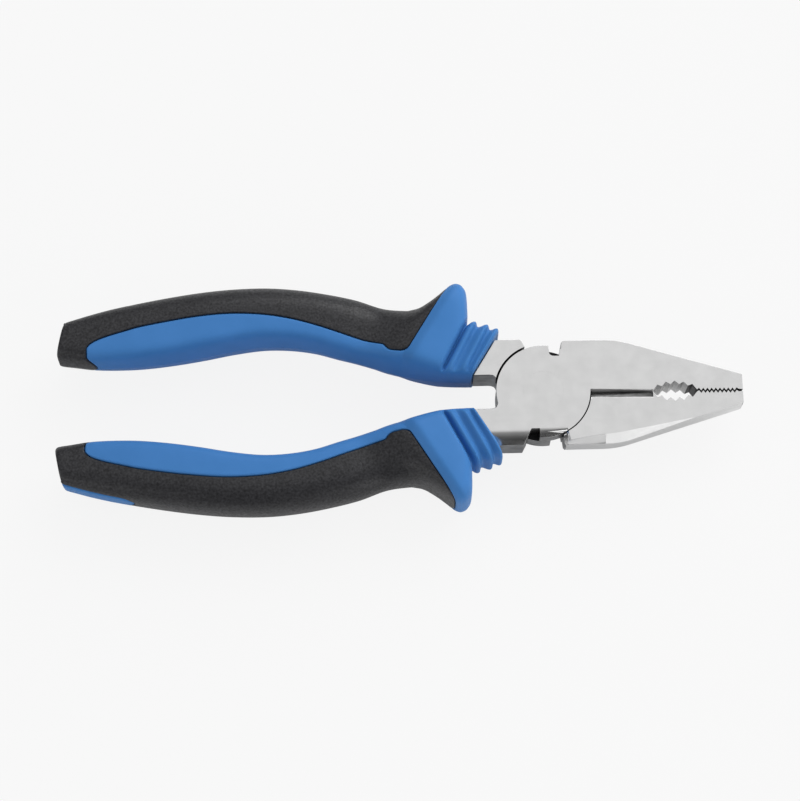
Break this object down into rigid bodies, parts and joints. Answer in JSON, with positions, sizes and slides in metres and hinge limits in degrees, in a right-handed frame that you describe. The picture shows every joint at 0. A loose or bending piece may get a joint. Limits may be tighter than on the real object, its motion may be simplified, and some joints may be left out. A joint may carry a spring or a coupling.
{
  "type": "combination pliers",
  "caption": "Closed combination pliers with a lapped steel head, flush pivot rivet, cutters, pipe grip and curved blue and black two-part handles with finger guards.",
  "frame": {"origin": "on the pivot's axis, at the back cheek of the head", "axes": "+X from the pivot to the jaw tips, +Y towards the upper jaw, +Z along the pivot from the back cheek to the front cheek"},
  "size_m": [0.1787, 0.0608, 0.0232],
  "materials": {
    "forged_steel": "satin, ground cheeks",
    "rivet_steel": "satin, ground flush",
    "hard_blue": "satin moulded",
    "soft_black": "fine grained"
  },
  "bodies": {
    "upper_jaw_side": {"upper_jaw_lever": "forged_steel", "pivot_rivet": "rivet_steel", "lower_grip_core": "hard_blue", "lower_grip_cover": "soft_black"},
    "lower_jaw_side": {"lower_jaw_lever": "forged_steel", "upper_grip_core": "hard_blue", "upper_grip_cover": "soft_black"}
  },
  "joints": [
    {"name": "jaw_pivot", "type": "hinge", "parent": "upper_jaw_side", "child": "lower_jaw_side", "pos_m": [0, 0, 0], "axis": [0, 0, -1], "range_deg": [0, 40]}
  ]
}
